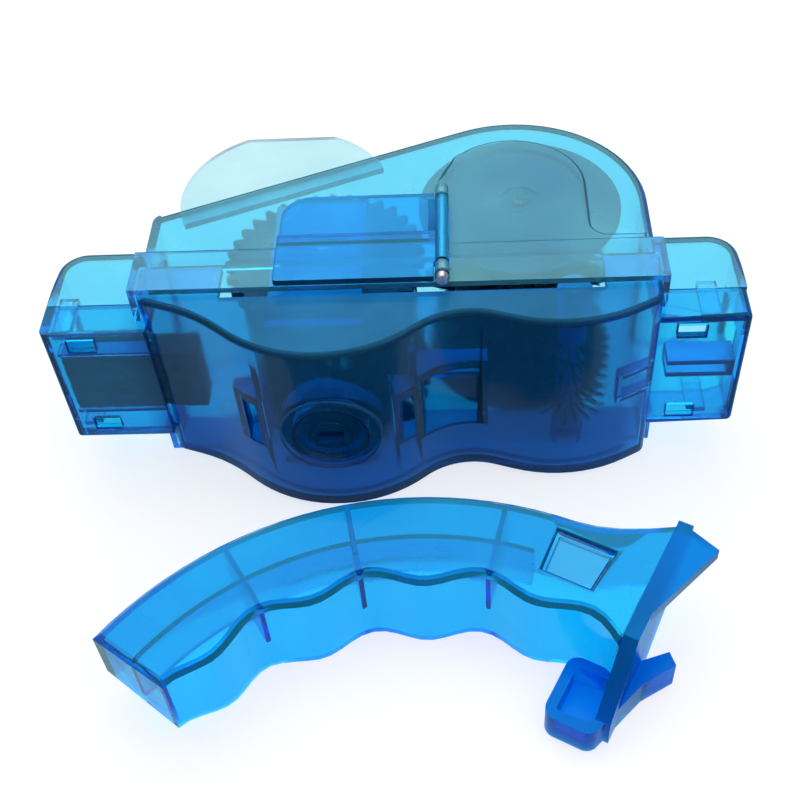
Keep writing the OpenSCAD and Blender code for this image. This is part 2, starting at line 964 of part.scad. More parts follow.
module plug_seal() {
    color([0.05, 0.05, 0.06])
        seal_ring(plug_radius);
}

// Bristles: a strand is a three-sided spike from the origin along Z

module strand(length) {
    h = strand_radius;
    polyhedron(
        points = [
            for (z = [0, length])
                for (a = [0, 120, 240])
                    [h * cos(a), h * sin(a), z]
        ],
        faces = [
            [0, 1, 2],
            [5, 4, 3],
            [0, 3, 4], [0, 4, 1],
            [1, 4, 5], [1, 5, 2],
            [2, 5, 3], [2, 3, 0]
        ]
    );
}

// Side brushes

module disc() {
    color([0.1, 0.14, 0.3])
    difference() {
        union() {
            slab(disc_back_z, disc_front_z)
                translate([disc_x, disc_y])
                    polygon([
                        for (k = [0 : disc_teeth - 1])
                            for (p = [[0, disc_radius - disc_tooth_depth], [0.25, disc_radius],
                                      [0.5, disc_radius], [0.75, disc_radius - disc_tooth_depth]])
                                p[1] * heading((k + p[0]) * 360 / disc_teeth)
                    ]);
            post(disc_x, disc_y, disc_hub_end_z, disc_front_z, disc_hub_radius);
        }
        post(disc_x, disc_y, disc_hub_end_z - over, disc_front_z + over, disc_pin_radius + running_gap);
    }
}

module disc_bristles() {
    outer = disc_bristle_rings[len(disc_bristle_rings) - 1] + slice_margin;
    length = disc_back_z - slice_thickness / 2 - middle_z - disc_bristle_gap;
    color([0.06, 0.08, 0.18]) {
        difference() {
            post(disc_x, disc_y, disc_back_z - slice_thickness, disc_back_z, outer);
            post(disc_x, disc_y, disc_back_z - slice_thickness - over, disc_back_z + over, slice_inner_radius);
        }
        for (ring = [0 : len(disc_bristle_rings) - 1])
            for (k = [0 : disc_bristle_counts[ring] - 1])
                translate([disc_x, disc_y, disc_back_z - slice_thickness / 2 - length])
                    rotate([0, 0, k * 360 / disc_bristle_counts[ring]])
                        translate([disc_bristle_rings[ring], 0, 0])
                            strand(length);
    }
}

module front_brush_disc() {
    disc();
}

module front_bristles() {
    disc_bristles();
}

module rear_brush_disc() {
    in_rear()
        disc();
}

module rear_bristles() {
    in_rear()
        disc_bristles();
}

// Upper wheel

wheel_hub_half = tank_width / 2 - wheel_boss_length - end_play;
roller_hub_half = tank_width / 2 - axle_boss_length - end_play;

module upper_wheel() {
    root = pitch_radius - tooth_drop;
    tip = pitch_radius + tooth_rise;
    color([0.08, 0.1, 0.22])
    difference() {
        union() {
            post(wheel_x, wheel_y, middle_z - wheel_hub_half, middle_z + wheel_hub_half, wheel_hub_radius);
            both_sides()
                post(wheel_x, wheel_y, middle_z + wheel_hub_half - wheel_disc_thickness,
                    middle_z + wheel_hub_half, wheel_disc_radius);
            translate([wheel_x, wheel_y, middle_z - tooth_thickness / 2])
                linear_extrude(tooth_thickness) {
                    circle(r = root);
                    for (k = [0 : wheel_teeth - 1])
                        rotate(k * 360 / wheel_teeth)
                            polygon([
                                [root - tooth_root_half, -tooth_root_half],
                                [root + tooth_tip_half, -tooth_root_half],
                                [tip, -tooth_tip_half],
                                [tip, tooth_tip_half],
                                [root + tooth_tip_half, tooth_root_half],
                                [root - tooth_root_half, tooth_root_half]
                            ]);
                }
        }
        post(wheel_x, wheel_y, middle_z - wheel_hub_half - over, middle_z + wheel_hub_half + over,
            wheel_axle_radius + running_gap);
    }
}

// Radial strands on a sleeve around a hub
module radial_brush(x, y, zs, half, inner, sleeve, tip, count) {
    difference() {
        post(x, y, zs[0] - half, zs[len(zs) - 1] + half, inner + sleeve);
        post(x, y, zs[0] - half - over, zs[len(zs) - 1] + half + over, inner);
    }
    for (row = [0 : len(zs) - 1])
        for (k = [0 : count - 1])
            translate([x, y, zs[row]])
                rotate([0, 0, (k + row / 2) * 360 / count])
                    translate([inner + sleeve / 2, 0, 0])
                        rotate([0, 90, 0])
                            strand(tip - inner - sleeve / 2);
}

module wheel_bristles() {
    color([0.06, 0.08, 0.18])
        radial_brush(wheel_x, wheel_y,
            [for (row = [0 : wheel_bristle_rows - 1]) middle_z + wheel_row_first + row * wheel_row_pitch],
            wheel_row_pitch / 2 - over, wheel_hub_radius, sleeve_thickness, wheel_brush_radius,
            wheel_bristle_count);
}

module upper_bristles_front() {
    wheel_bristles();
}

module upper_bristles_rear() {
    in_rear()
        wheel_bristles();
}

// Lower brush

module lower_brush_hub() {
    color([0.1, 0.35, 0.7])
    difference() {
        post(roller_x, roller_y, middle_z - roller_hub_half, middle_z + roller_hub_half, roller_hub_radius);
        post(roller_x, roller_y, middle_z - roller_hub_half - over, middle_z + roller_hub_half + over,
            roller_axle_radius + running_gap);
    }
}

module lower_bristles() {
    color([0.06, 0.08, 0.18])
        radial_brush(roller_x, roller_y,
            [for (row = [0 : roller_rows - 1]) middle_z + (row - (roller_rows - 1) / 2) * roller_row_pitch],
            roller_row_pitch / 2, roller_hub_radius, roller_sleeve, roller_radius, roller_strands);
}

// Handle

function groove_radius(a, d) =
    handle_radius - handle_width + d - groove_depth * cos((a - groove_start) * 360 / groove_angle);

// The back flares out towards the bracket
function back_radius(a) =
    handle_radius + handle_flare * pow(max(handle_flare_start_angle - a, 0) / handle_flare_angle, 2);

function around(a, r) = [handle_x, handle_y] + r * heading(a);

// Outline of the handle, moved inward by d
function handle_points(d) =
    let (tip = handle_tip_angle - d * 180 / PI / handle_radius)
    concat(
        [for (k = [0 : 40])
            let (a = handle_end_angle - groove_angle / 2 + k * (tip - handle_end_angle + groove_angle / 2) / 40)
            around(a, groove_radius(a, d))],
        [for (k = [30 : -1 : 0])
            let (a = handle_end_angle - groove_angle / 2 + k * (tip - handle_end_angle + groove_angle / 2) / 30)
            around(a, back_radius(a) - d)]
    );

// Everything on the tank's side of the bracket's back face
module beyond_bracket() {
    translate([bracket_x, bracket_y, -over])
        rotate([0, 0, bracket_angle - 90])
            translate([-bracket_thickness, -handle_radius, 0])
                cube([handle_radius, 2 * handle_radius, handle_thickness + 2 * over]);
}

// Wedge that lifts the handle's underside towards its tip
module tip_rise() {
    tip = around(handle_tip_angle, handle_radius);
    translate([tip[0] + handle_tip_run, handle_y, 0])
        rotate([0, atan(handle_tip_rise / handle_tip_run), 0])
            translate([-2 * handle_tip_run, 0, -handle_thickness])
                cube([2 * handle_tip_run, handle_radius + over, handle_thickness]);
}

module handle_window() {
    slab(handle_thickness - handle_wall - over, handle_thickness + over)
        polygon(window_points(0));
}

handle_window_outer = handle_radius - handle_window_inset;
handle_window_inner = handle_window_outer - handle_window_width;

// Corners of the window in the handle's top, moved inward by gap
function window_points(gap) =
    let (turn = gap * 180 / PI / mid_rib_radius)
    [
        around(handle_window_start_angle + turn, handle_window_inner + gap),
        around(handle_window_start_angle + turn, handle_window_outer - gap),
        around(handle_window_end_angle - turn, handle_window_outer - gap),
        around(handle_window_end_angle - turn, handle_window_inner + gap)
    ];

mid_rib_radius = handle_radius - mid_rib_inset;

function mid_rib_angle(share) = mid_rib_start_angle + share * (handle_tip_angle - mid_rib_start_angle);

module handle_ribs() {
    for (a = rib_angles)
        translate([handle_x, handle_y, handle_thickness - rib_height])
            rotate([0, 0, a])
                translate([handle_radius - handle_width - groove_depth, -rib_thickness / 2, 0])
                    cube([handle_width + groove_depth, rib_thickness, rib_height]);
    slab(handle_thickness - rib_height, handle_thickness - handle_wall / 2)
        polygon(concat(
            [for (k = [0 : 30]) around(mid_rib_angle(k / 30), mid_rib_radius - rib_thickness / 2)],
            [for (k = [30 : -1 : 0]) around(mid_rib_angle(k / 30), mid_rib_radius + rib_thickness / 2)]
        ));
}

module handle_grip() {
    color([0.1, 0.6, 0.92, 0.6])
    difference() {
        union() {
            difference() {
                union() {
                    slab(0, handle_thickness - handle_edge)
                        polygon(handle_points(0));
                    slab(0, handle_thickness)
                        polygon(handle_points(handle_edge));
                }
                slab(-over, handle_thickness - handle_wall)
                    polygon(handle_points(handle_wall));
            }
            intersection() {
                handle_ribs();
                slab(0, handle_thickness - handle_wall / 2)
                    polygon(handle_points(handle_wall / 2));
            }
        }
        beyond_bracket();
        handle_window();
        tip_rise();
        at_bracket()
            slab(-over, bracket_block_height)
                polygon(rounded(bracket_block_corners));
    }
}

// Bracket that hooks into the tank, drawn along the X axis with the tank towards -Y
module at_bracket() {
    translate([bracket_x, bracket_y, 0])
        rotate([0, 0, bracket_angle])
            children();
}

module handle_bracket() {
    color([0.03, 0.38, 0.85, 0.7])
    at_bracket() {
        translate([0, bracket_thickness, 0])
            rotate([90, 0, 0])
                linear_extrude(bracket_thickness)
                    polygon([
                        [-bracket_plate_near, 0],
                        [bracket_toe, 0],
                        [bracket_reach, bracket_rise],
                        [bracket_reach, handle_thickness],
                        [-bracket_shoulder, handle_thickness],
                        [-bracket_plate_near, bracket_block_height]
                    ]);
        slab(handle_thickness - bracket_flange, handle_thickness)
            polygon([
                [bracket_reach, bracket_thickness],
                [-bracket_near / 4, bracket_thickness],
                [-bracket_near / 4, 0],
                [bracket_reach - 1.5 * bracket_notch, -bracket_hook_reach]
            ]);
        slab(0, bracket_block_height)
            difference() {
                polygon(rounded(bracket_block_corners));
                polygon(rounded(inset(bracket_block_corners, bracket_notch)));
            }
        slab(0, bracket_notch)
            polygon(rounded(bracket_block_corners));
        slab(0, bracket_block_height)
            polygon([
                [-bracket_shoulder, bracket_thickness],
                [-bracket_shoulder, -bracket_hook_reach / 3],
                [-bracket_hook_near, -bracket_hook_reach],
                [-bracket_hook_near + bracket_notch, -bracket_hook_reach + bracket_notch],
                [-bracket_hook_near - bracket_notch, 0],
                [-bracket_hook_near - bracket_notch, bracket_thickness]
            ]);
    }
}

module release_tongue() {
    color([0.6, 0.9, 0.98, 0.6])
        slab(handle_thickness - handle_edge - tongue_thickness, handle_thickness - handle_edge)
            polygon(window_points(tongue_gap));
}

tank();
lower_sponge();
outlet_guide();
front_brush_pin();
rear_brush_pin();
lower_brush_axle();
lid();
splash_guard();
upper_wheel_axle();
latch_pin();
latch();
magnet_plug();
magnet();
plug_seal();
front_brush_disc();
front_bristles();
rear_brush_disc();
rear_bristles();
upper_wheel();
upper_bristles_front();
upper_bristles_rear();
lower_brush_hub();
lower_bristles();
handle_grip();
handle_bracket();
release_tongue();
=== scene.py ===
import json
import math
import random

import bmesh
import bpy
from mathutils import Matrix, Vector
from mathutils.bvhtree import BVHTree


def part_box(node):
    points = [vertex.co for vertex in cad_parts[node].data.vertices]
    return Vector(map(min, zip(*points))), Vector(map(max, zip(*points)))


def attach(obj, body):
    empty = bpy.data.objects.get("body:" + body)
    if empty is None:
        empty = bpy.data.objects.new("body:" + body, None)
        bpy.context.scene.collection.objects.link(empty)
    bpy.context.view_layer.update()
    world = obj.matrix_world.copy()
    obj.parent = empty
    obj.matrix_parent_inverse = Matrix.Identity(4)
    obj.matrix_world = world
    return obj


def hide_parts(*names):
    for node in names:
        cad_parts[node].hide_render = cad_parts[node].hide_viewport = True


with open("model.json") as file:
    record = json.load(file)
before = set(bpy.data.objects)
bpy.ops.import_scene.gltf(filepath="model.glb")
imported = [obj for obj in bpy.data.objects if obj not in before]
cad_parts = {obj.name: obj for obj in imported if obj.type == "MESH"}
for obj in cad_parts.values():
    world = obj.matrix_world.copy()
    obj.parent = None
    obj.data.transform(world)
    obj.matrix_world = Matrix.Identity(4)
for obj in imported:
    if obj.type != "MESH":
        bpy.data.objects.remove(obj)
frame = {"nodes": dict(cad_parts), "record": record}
NODES = frame["nodes"]
SCENE = bpy.context.scene
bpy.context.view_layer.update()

MM = 0.001
BRISTLE = 0.14 * MM  # radius of one strand

# ---------------------------------------------------------------- camera

EYE = Vector((0.017565, -0.197817, 0.243482))
PITCH = math.radians(48.276)
YAW = math.radians(-4.8535)
ROLL = math.radians(-4.9585)

ahead = Vector((math.sin(YAW) * math.cos(PITCH), math.cos(YAW) * math.cos(PITCH), -math.sin(PITCH)))
level = ahead.cross(Vector((0, 0, 1))).normalized()
steep = level.cross(ahead)
right = math.cos(ROLL) * level + math.sin(ROLL) * steep
up = -math.sin(ROLL) * level + math.cos(ROLL) * steep

camera_data = bpy.data.cameras.new("camera")
camera_data.lens = 54.70
camera_data.sensor_width = 36
camera_data.clip_start = 0.01
camera_data.clip_end = 20
camera = bpy.data.objects.new("camera", camera_data)
SCENE.collection.objects.link(camera)
camera.matrix_world = Matrix((
    (right.x, up.x, -ahead.x, EYE.x),
    (right.y, up.y, -ahead.y, EYE.y),
    (right.z, up.z, -ahead.z, EYE.z),
    (0, 0, 0, 1),
))
SCENE.camera = camera

# ---------------------------------------------------------------- materials


class Tree:
    """Short names for building one material's nodes."""

    def __init__(self, name):
        self.mat = bpy.data.materials.new(name)
        self.mat.use_nodes = True
        self.tree = self.mat.node_tree
        self.tree.nodes.clear()
        self.out = self.tree.nodes.new("ShaderNodeOutputMaterial")

    def node(self, kind, **values):
        n = self.tree.nodes.new("ShaderNode" + kind)
        for key, value in values.items():
            key = key.replace("_", " ")
            if key in n.inputs:
                n.inputs[key].default_value = value
            else:
                setattr(n, key.replace(" ", "_"), value)
        return n

    def link(self, a, b):
        self.tree.links.new(a, b)

    def place(self):
        return self.node("TexCoord").outputs["Object"]

    def noise(self, scale, detail=2.0, rough=0.5):
        n = self.node("TexNoise", Scale=scale, Detail=detail, Roughness=rough)
        self.link(self.place(), n.inputs["Vector"])
        return n.outputs["Fac"]

    def spread(self, fac, low, high):
        n = self.node("MapRange")
        n.inputs["From Min"].default_value = 0.3
        n.inputs["From Max"].default_value = 0.7
        n.inputs["To Min"].default_value = low
        n.inputs["To Max"].default_value = high
        self.link(fac, n.inputs["Value"])
        return n.outputs["Result"]

    def ramp(self, fac, low, high):
        n = self.node("ValToRGB")
        n.color_ramp.elements[0].position = 0.3
        n.color_ramp.elements[1].position = 0.7
        n.color_ramp.elements[0].color = (*low, 1)
        n.color_ramp.elements[1].color = (*high, 1)
        self.link(fac, n.inputs["Fac"])
        return n.outputs["Color"]

    def bump(self, height, strength, distance, normal=None):
        n = self.node("Bump", Strength=strength, Distance=distance)
        self.link(height, n.inputs["Height"])
        if normal is not None:
            self.link(normal, n.inputs["Normal"])
        return n.outputs["Normal"]


def clear_plastic(name, absorb, veil, share, rough=0.2, tint=(0.97, 0.99, 1), painted_shade=None, ior=1.33):
    """Tinted moulding: its walls swallow light as they get thicker (absorb is per metre
    for red, green and blue), and a thin veil of colour scatters the rest."""
    t = Tree(name)
    flow = t.noise(38, 2.0, 0.55)
    peel = t.bump(t.noise(1300, 1.0), 0.1, 0.0001)
    wave = t.bump(flow, 0.25, 0.002, peel)
    see = t.node("BsdfGlass", IOR=ior)
    see.inputs["Color"].default_value = (*tint, 1)
    if painted_shade:
        # painted shade: the middle of the moulding, behind the walls of the drum, takes a darker
        # tint than its ends
        split = t.node("SeparateXYZ")
        t.link(t.place(), split.inputs[0])
        along = t.node("Math", operation="ABSOLUTE")
        t.link(split.outputs["X"], along.inputs[0])
        near = t.node("MapRange")
        near.inputs["From Min"].default_value = 0.054
        near.inputs["From Max"].default_value = 0.064
        t.link(along.outputs[0], near.inputs["Value"])
        blend = t.node("ValToRGB")
        blend.color_ramp.elements[0].color = (*painted_shade, 1)
        blend.color_ramp.elements[1].color = (*tint, 1)
        t.link(near.outputs["Result"], blend.inputs["Fac"])
        t.link(blend.outputs["Color"], see.inputs["Color"])
    t.link(t.spread(t.noise(700, 1.0), rough * 0.7, rough * 1.3), see.inputs["Roughness"])
    t.link(wave, see.inputs["Normal"])
    skin = t.node("BsdfDiffuse")
    pale = [min(c * 1.12, 1) for c in veil]
    t.link(t.ramp(flow, [c * 0.88 for c in veil], pale), skin.inputs["Color"])
    t.link(wave, skin.inputs["Normal"])
    shape = t.node("NewGeometry")
    front = t.node("Math", operation="SUBTRACT")
    front.inputs[0].default_value = 1
    t.link(shape.outputs["Backfacing"], front.inputs[1])
    # painted light: the veil is thicker on faces that look up and thinner on faces that look down,
    # as if lit from above
    facing = t.node("SeparateXYZ")
    t.link(shape.outputs["Normal"], facing.inputs[0])
    painted_top_light = t.node("MapRange")
    painted_top_light.inputs["To Min"].default_value = 0.5
    painted_top_light.inputs["To Max"].default_value = 1.35
    t.link(facing.outputs["Z"], painted_top_light.inputs["Value"])
    outer = t.node("Math", operation="MULTIPLY")
    t.link(front.outputs[0], outer.inputs[0])
    t.link(painted_top_light.outputs["Result"], outer.inputs[1])
    haze = t.node("Math", operation="MULTIPLY")
    t.link(outer.outputs[0], haze.inputs[0])
    t.link(t.spread(flow, share * 0.88, share * 1.12), haze.inputs[1])
    body = t.node("MixShader")
    t.link(haze.outputs[0], body.inputs["Fac"])
    t.link(see.outputs[0], body.inputs[1])
    t.link(skin.outputs[0], body.inputs[2])
    inner = t.node("BsdfTransparent")
    inner.inputs["Color"].default_value = (0.93, 0.97, 1, 1)
    wall = t.node("MixShader")
    t.link(t.node("LightPath").outputs["Is Shadow Ray"], wall.inputs["Fac"])
    t.link(body.outputs[0], wall.inputs[1])
    t.link(inner.outputs[0], wall.inputs[2])
    t.link(wall.outputs[0], t.out.inputs["Surface"])
    peak = max(absorb)
    depth = t.node("VolumeAbsorption", Density=peak)
    depth.inputs["Color"].default_value = (*[1 - a / peak for a in absorb], 1)
    t.link(depth.outputs[0], t.out.inputs["Volume"])
    return t.mat


def solid_plastic(name, low, high, rough=0.5, scale=300, depth=0.00012, sheen=0.0):
    t = Tree(name)
    skin = t.node("BsdfPrincipled", IOR=1.48)
    skin.inputs["Sheen Weight"].default_value = sheen
    t.link(t.ramp(t.noise(scale / 4, 3.0), low, high), skin.inputs["Base Color"])
    t.link(t.spread(t.noise(scale, 2.0), rough * 0.8, rough * 1.2), skin.inputs["Roughness"])
    t.link(t.bump(t.noise(scale * 4, 2.0), 0.3, depth), skin.inputs["Normal"])
    t.link(skin.outputs[0], t.out.inputs["Surface"])
    return t.mat


def drawn_steel(name, colour, rough=0.3):
    t = Tree(name)
    skin = t.node("BsdfPrincipled", Metallic=1.0)
    stretch = t.node("Mapping")
    stretch.inputs["Scale"].default_value = (1, 1, 0.06)
    t.link(t.place(), stretch.inputs["Vector"])
    lines = t.node("TexNoise", Scale=4000, Detail=2.0)
    t.link(stretch.outputs[0], lines.inputs["Vector"])
    grain = lines.outputs["Fac"]
    t.link(t.ramp(grain, [c * 0.8 for c in colour], colour), skin.inputs["Base Color"])
    t.link(t.spread(grain, rough * 0.7, rough * 1.4), skin.inputs["Roughness"])
    t.link(t.bump(grain, 0.2, 0.00005), skin.inputs["Normal"])
    t.link(skin.outputs[0], t.out.inputs["Surface"])
    return t.mat


# absorption, veil colour, veil share, roughness, tint of one surface
PLASTICS = {
    "tank_plastic": ((1300, 110, 18), (0.04, 0.40, 0.84), 0.28, 0.13, (0.60, 0.93, 1.0)),
    "lid_plastic": ((420, 66, 10), (0.24, 0.78, 1.0), 0.23, 0.12, (0.84, 0.97, 1.0)),
    "latch_plastic": ((900, 140, 30), (0.05, 0.60, 0.98), 0.16, 0.06, (0.55, 0.84, 0.96)),
    "clear_plastic": ((420, 90, 40), (0.72, 0.88, 0.92), 0.34, 0.2, (0.95, 0.98, 0.99)),
    "handle_plastic": ((1700, 210, 34), (0.02, 0.58, 1.0), 0.27, 0.12, (0.60, 0.94, 1.0)),
    "bracket_plastic": ((1800, 400, 90), (0.0, 0.28, 0.82), 0.45, 0.15, (0.5, 0.88, 1.0)),
    "tongue_plastic": ((600, 110, 25), (0.1, 0.62, 0.92), 0.3, 0.12, (0.8, 0.96, 1.0)),
    "guide_plastic": ((700, 160, 30), (0.05, 0.6, 0.98), 0.3, 0.15, (0.7, 0.94, 1.0)),
    "plug_plastic": ((900, 300, 90), (0.0, 0.2, 0.55), 0.4, 0.15, (0.6, 0.85, 0.95)),
}
# painted shade: the darker tint given to the middle of the tank
PAINTED_SHADE_TINT = (0.40, 0.60, 0.76)
EDGE_ROUGH = 0.08
# painted shade: the darker tint of the roundings' plastic
EDGE_SHADE_TINT = (0.28, 0.68, 0.95)
MATERIALS = {
    name: clear_plastic(name, *values, painted_shade=PAINTED_SHADE_TINT if name == "tank_plastic" else None)
    for name, values in PLASTICS.items()
}
# painted shade: the roundings take a darker copy of each plastic, standing in for the dark lines
# that edges show when looked through
EDGES = {
    name: clear_plastic(name + "_edge", absorb, [c * 0.7 for c in veil], share * 0.8,
                        EDGE_ROUGH, EDGE_SHADE_TINT)
    for name, (absorb, veil, share, _, _) in PLASTICS.items()
}
MATERIALS.update({
    "hub_plastic": solid_plastic("hub_plastic", (0.03, 0.13, 0.38), (0.05, 0.18, 0.5)),
    "wheel_plastic": solid_plastic("wheel_plastic", (0.012, 0.02, 0.05), (0.022, 0.035, 0.08)),
    "bristle": solid_plastic("bristle", (0.012, 0.018, 0.045), (0.03, 0.04, 0.09), 0.4, 900),
    "sponge": solid_plastic("sponge", (0.008, 0.012, 0.03), (0.03, 0.04, 0.075), 0.9, 1200,
                            0.0004, 0.3),
    "steel": drawn_steel("steel", (0.62, 0.63, 0.65)),
    "magnet": drawn_steel("magnet", (0.32, 0.33, 0.35), 0.35),
    "seal_rubber": solid_plastic("seal_rubber", (0.012, 0.012, 0.015), (0.03, 0.03, 0.034),
                                 0.7, 700),
})

SLOT_OF = {s["node"]: s["material_slot"] for s in frame["record"]["subparts"]}
BODY_OF = {n: b for b, ns in frame["record"]["behaviour"]["bodies"].items() for n in ns}

for name, obj in NODES.items():
    obj.data.materials.clear()
    obj.data.materials.append(MATERIALS[SLOT_OF[name]])

# ---------------------------------------------------------------- shapes

MANY_SIDED = 7
BROAD_FACE = 20 * MM * MM
SAME_POINT = 1e-6
COLLAPSED = 2e-6
SHORT_EDGE = 0.05 * MM
FLAT = math.radians(0.6)
CORNER = math.radians(26)
CLEARANCE = 0.05 * MM

# rounding widths in millimetres that are cut in full, whatever the outline's shortest edge is
ARCH, RIM, PORT, BACK = 0.71, 1.31, 1.41, 1.01
FULL_WIDTHS = (ARCH, RIM, PORT, BACK)


def shaped(name, bm, slot, sharp=32):
    """Turns a bmesh into an object with its slot's materials: broad many-sided faces are flat,
    the rest smooth up to the sharp angle."""
    mesh = bpy.data.meshes.new(name)
    bm.to_mesh(mesh)
    bm.free()
    mesh.materials.append(MATERIALS[slot])
    # the second material is the slot's darker edge plastic, a painted shade
    if slot in EDGES:
        mesh.materials.append(EDGES[slot])
    for p in mesh.polygons:
        p.use_smooth = len(p.vertices) < MANY_SIDED or p.area < BROAD_FACE
    mesh.set_sharp_from_angle(angle=math.radians(sharp))
    obj = bpy.data.objects.new(name, mesh)
    SCENE.collection.objects.link(obj)
    return obj


def moulded(node, widths, segments=4, before=None, dark=None):
    """A copy of a CAD node whose exposed edges are rounded as a moulding's are.
    widths is a list of (test, width): the first test that an edge's middle passes gives its
    rounding, and 0 leaves it plain. dark picks faces that take the edge material's painted shade as
    well."""
    bm = bmesh.new()
    bm.from_mesh(NODES[node].data)
    bmesh.ops.remove_doubles(bm, verts=bm.verts, dist=SAME_POINT)
    bmesh.ops.dissolve_limit(bm, angle_limit=FLAT, verts=bm.verts, edges=bm.edges)
    if before:
        before(bm)
    else:
        bmesh.ops.dissolve_degenerate(bm, dist=SHORT_EDGE, edges=bm.edges)
    bm.normal_update()
    tree = BVHTree.FromBMesh(bm)
    wanted = {}
    for e in bm.edges:
        if len(e.link_faces) != 2 or e.calc_face_angle_signed(0) < CORNER:
            continue
        middle = (e.verts[0].co + e.verts[1].co) / 2
        out = (e.link_faces[0].normal + e.link_faces[1].normal).normalized()
        if tree.ray_cast(middle + out * CLEARANCE, out)[0] is not None:
            continue
        for test, width in widths:
            if test(middle.x / MM, middle.y / MM, middle.z / MM):
                if width:
                    wanted[e] = width
                break
    while wanted:
        seed = next(iter(wanted))
        width = wanted.pop(seed)
        group, front = [seed], [seed]
        while front:
            e = front.pop()
            for v in e.verts:
                for other in v.link_edges:
                    if wanted.get(other) == width:
                        wanted.pop(other)
                        group.append(other)
                        front.append(other)
        group = [e for e in group if e.is_valid]
        if group:
            # the rounding's faces take the slot's second material, its painted shade
            bmesh.ops.bevel(bm, geom=group, offset=width * MM, offset_type="OFFSET",
                            segments=segments, profile=0.5, affect="EDGES",
                            clamp_overlap=width not in FULL_WIDTHS,
                            material=1 if SLOT_OF[node] in EDGES else 0)
            wanted = {e: w for e, w in wanted.items() if e.is_valid}
    # the collapsed strips and loose edges that rounding leaves
    bmesh.ops.remove_doubles(bm, verts=bm.verts, dist=COLLAPSED)
    bmesh.ops.delete(bm, geom=[e for e in bm.edges if not e.link_faces], context="EDGES")
    # painted shade: the faces that dark picks take the darker edge material
    if dark:
        for f in bm.faces:
            middle = f.calc_center_median() / MM
            if dark(middle.x, middle.y, middle.z, f.normal):
                f.material_index = 1
    obj = shaped(node + "_moulding", bm, SLOT_OF[node])
    even = obj.modifiers.new("even", "WEIGHTED_NORMAL")
    even.keep_sharp = True
    even.weight = 90
    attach(obj, BODY_OF[node])
    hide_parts(node)
    return obj


def anywhere(x, y, z):
    return True


def strands(name, node, roots, slot="bristle", sides=3):
    """Thin bristles, each from a root point along a direction, tapering to its tip."""
    verts, faces = [], []
    for root, way, length, radius in roots:
        side = way.orthogonal().normalized()
        other = way.cross(side)
        base = len(verts)
        for share, thick in ((0, 1.0), (1, 0.55)):
            for k in range(sides):
                a = 2 * math.pi * k / sides
                round_it = side * math.cos(a) + other * math.sin(a)
                verts.append(root + way * (length * share) + round_it * radius * thick)
        for k in range(sides):
            n = (k + 1) % sides
            faces.append((base + k, base + n, base + sides + n, base + sides + k))
        faces.append(tuple(base + sides + k for k in range(sides)))
    mesh = bpy.data.meshes.new(name)
    mesh.from_pydata([tuple(v) for v in verts], [], faces)
    mesh.materials.append(MATERIALS[slot])
    obj = bpy.data.objects.new(name, mesh)
    SCENE.collection.objects.link(obj)
    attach(obj, BODY_OF[node])
    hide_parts(node)
    return obj


def centre_of(node):
    low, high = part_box(node)
    return (Vector(low) + Vector(high)) / 2


def side_tufts(node, disc, facing, seed):
    """Tufts of a side brush: rings of bundled bristles that stand on the disc."""
    rng = random.Random(seed)
    low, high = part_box(node)
    mid = centre_of(disc)
    base = high[2] if facing < 0 else low[2]
    reach = (high[2] - low[2]) - 0.0004
    roots = []
    for ring, count in zip((9.0, 13.0, 17.0, 20.6), (13, 19, 25, 30)):
        for k in range(count):
            a = 2 * math.pi * (k + rng.uniform(-0.08, 0.08)) / count
            for _ in range(15):
                r = (ring + rng.uniform(-0.75, 0.75)) * MM
                b = a + rng.uniform(-0.75, 0.75) / ring
                foot = Vector((mid.x + r * math.cos(b), mid.y + r * math.sin(b), base))
                lean = Vector((rng.uniform(-0.045, 0.045), rng.uniform(-0.045, 0.045), facing))
                roots.append((foot, lean.normalized(), reach * rng.uniform(0.93, 1.0), BRISTLE))
    return strands(node + "_tufts", node, roots)


def radial_tufts(node, hub, rows, count, inner, tip, each, seed, spread=0.55):
    """Tufts that stand out all round a hub."""
    rng = random.Random(seed)
    mid = centre_of(hub)
    roots = []
    for row, z in enumerate(rows):
        for k in range(count):
            a = 2 * math.pi * (k + row / 2) / count
            for _ in range(each):
                b = a + rng.uniform(-0.05, 0.05)
                h = z + rng.uniform(-spread, spread) * MM
                way = Vector((math.cos(b + rng.uniform(-0.04, 0.04)),
                              math.sin(b + rng.uniform(-0.04, 0.04)),
                              rng.uniform(-0.03, 0.03))).normalized()
                r = inner * MM
                foot = Vector((mid.x + r * math.cos(b), mid.y + r * math.sin(b), h))
                roots.append((foot, way, (tip - inner) * MM * rng.uniform(0.93, 0.995), BRISTLE))
    return strands(node + "_tufts", node, roots)


def foam_block(node):
    """Open-cell foam: a block with soft corners and a pitted skin."""
    low, high = (Vector(c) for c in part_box(node))
    size = high - low
    mid = (high + low) / 2
    step = 0.6
    cuts = [max(3, round(size[i] / (step * MM))) for i in range(3)]
    rng = random.Random(5)
    bm = bmesh.new()
    grid = {}

    def corner(i, j, k):
        key = (i, j, k)
        if key not in grid:
            p = Vector((i / cuts[0] - 0.5, j / cuts[1] - 0.5, k / cuts[2] - 0.5))
            q = Vector((p.x * size.x, p.y * size.y, p.z * size.z))
            soft = 0.9 * MM
            core = Vector([max(-size[n] / 2 + soft, min(size[n] / 2 - soft, q[n]))
                           for n in range(3)])
            out = q - core
            if out.length > 0:
                q = core + out.normalized() * (soft - rng.uniform(0, 0.28) * MM)
            grid[key] = bm.verts.new(mid + q)
        return grid[key]

    for axis in range(3):
        a, b = (axis + 1) % 3, (axis + 2) % 3
        for end in (0, cuts[axis]):
            for u in range(cuts[a]):
                for v in range(cuts[b]):
                    ring = []
                    for du, dv in ((0, 0), (1, 0), (1, 1), (0, 1)):
                        p = [0, 0, 0]
                        p[axis], p[a], p[b] = end, u + du, v + dv
                        ring.append(corner(*p))
                    bm.faces.new(ring if end else ring[::-1])
    obj = shaped(node + "_foam", bm, SLOT_OF[node], 60)
    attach(obj, BODY_OF[node])
    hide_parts(node)
    return obj


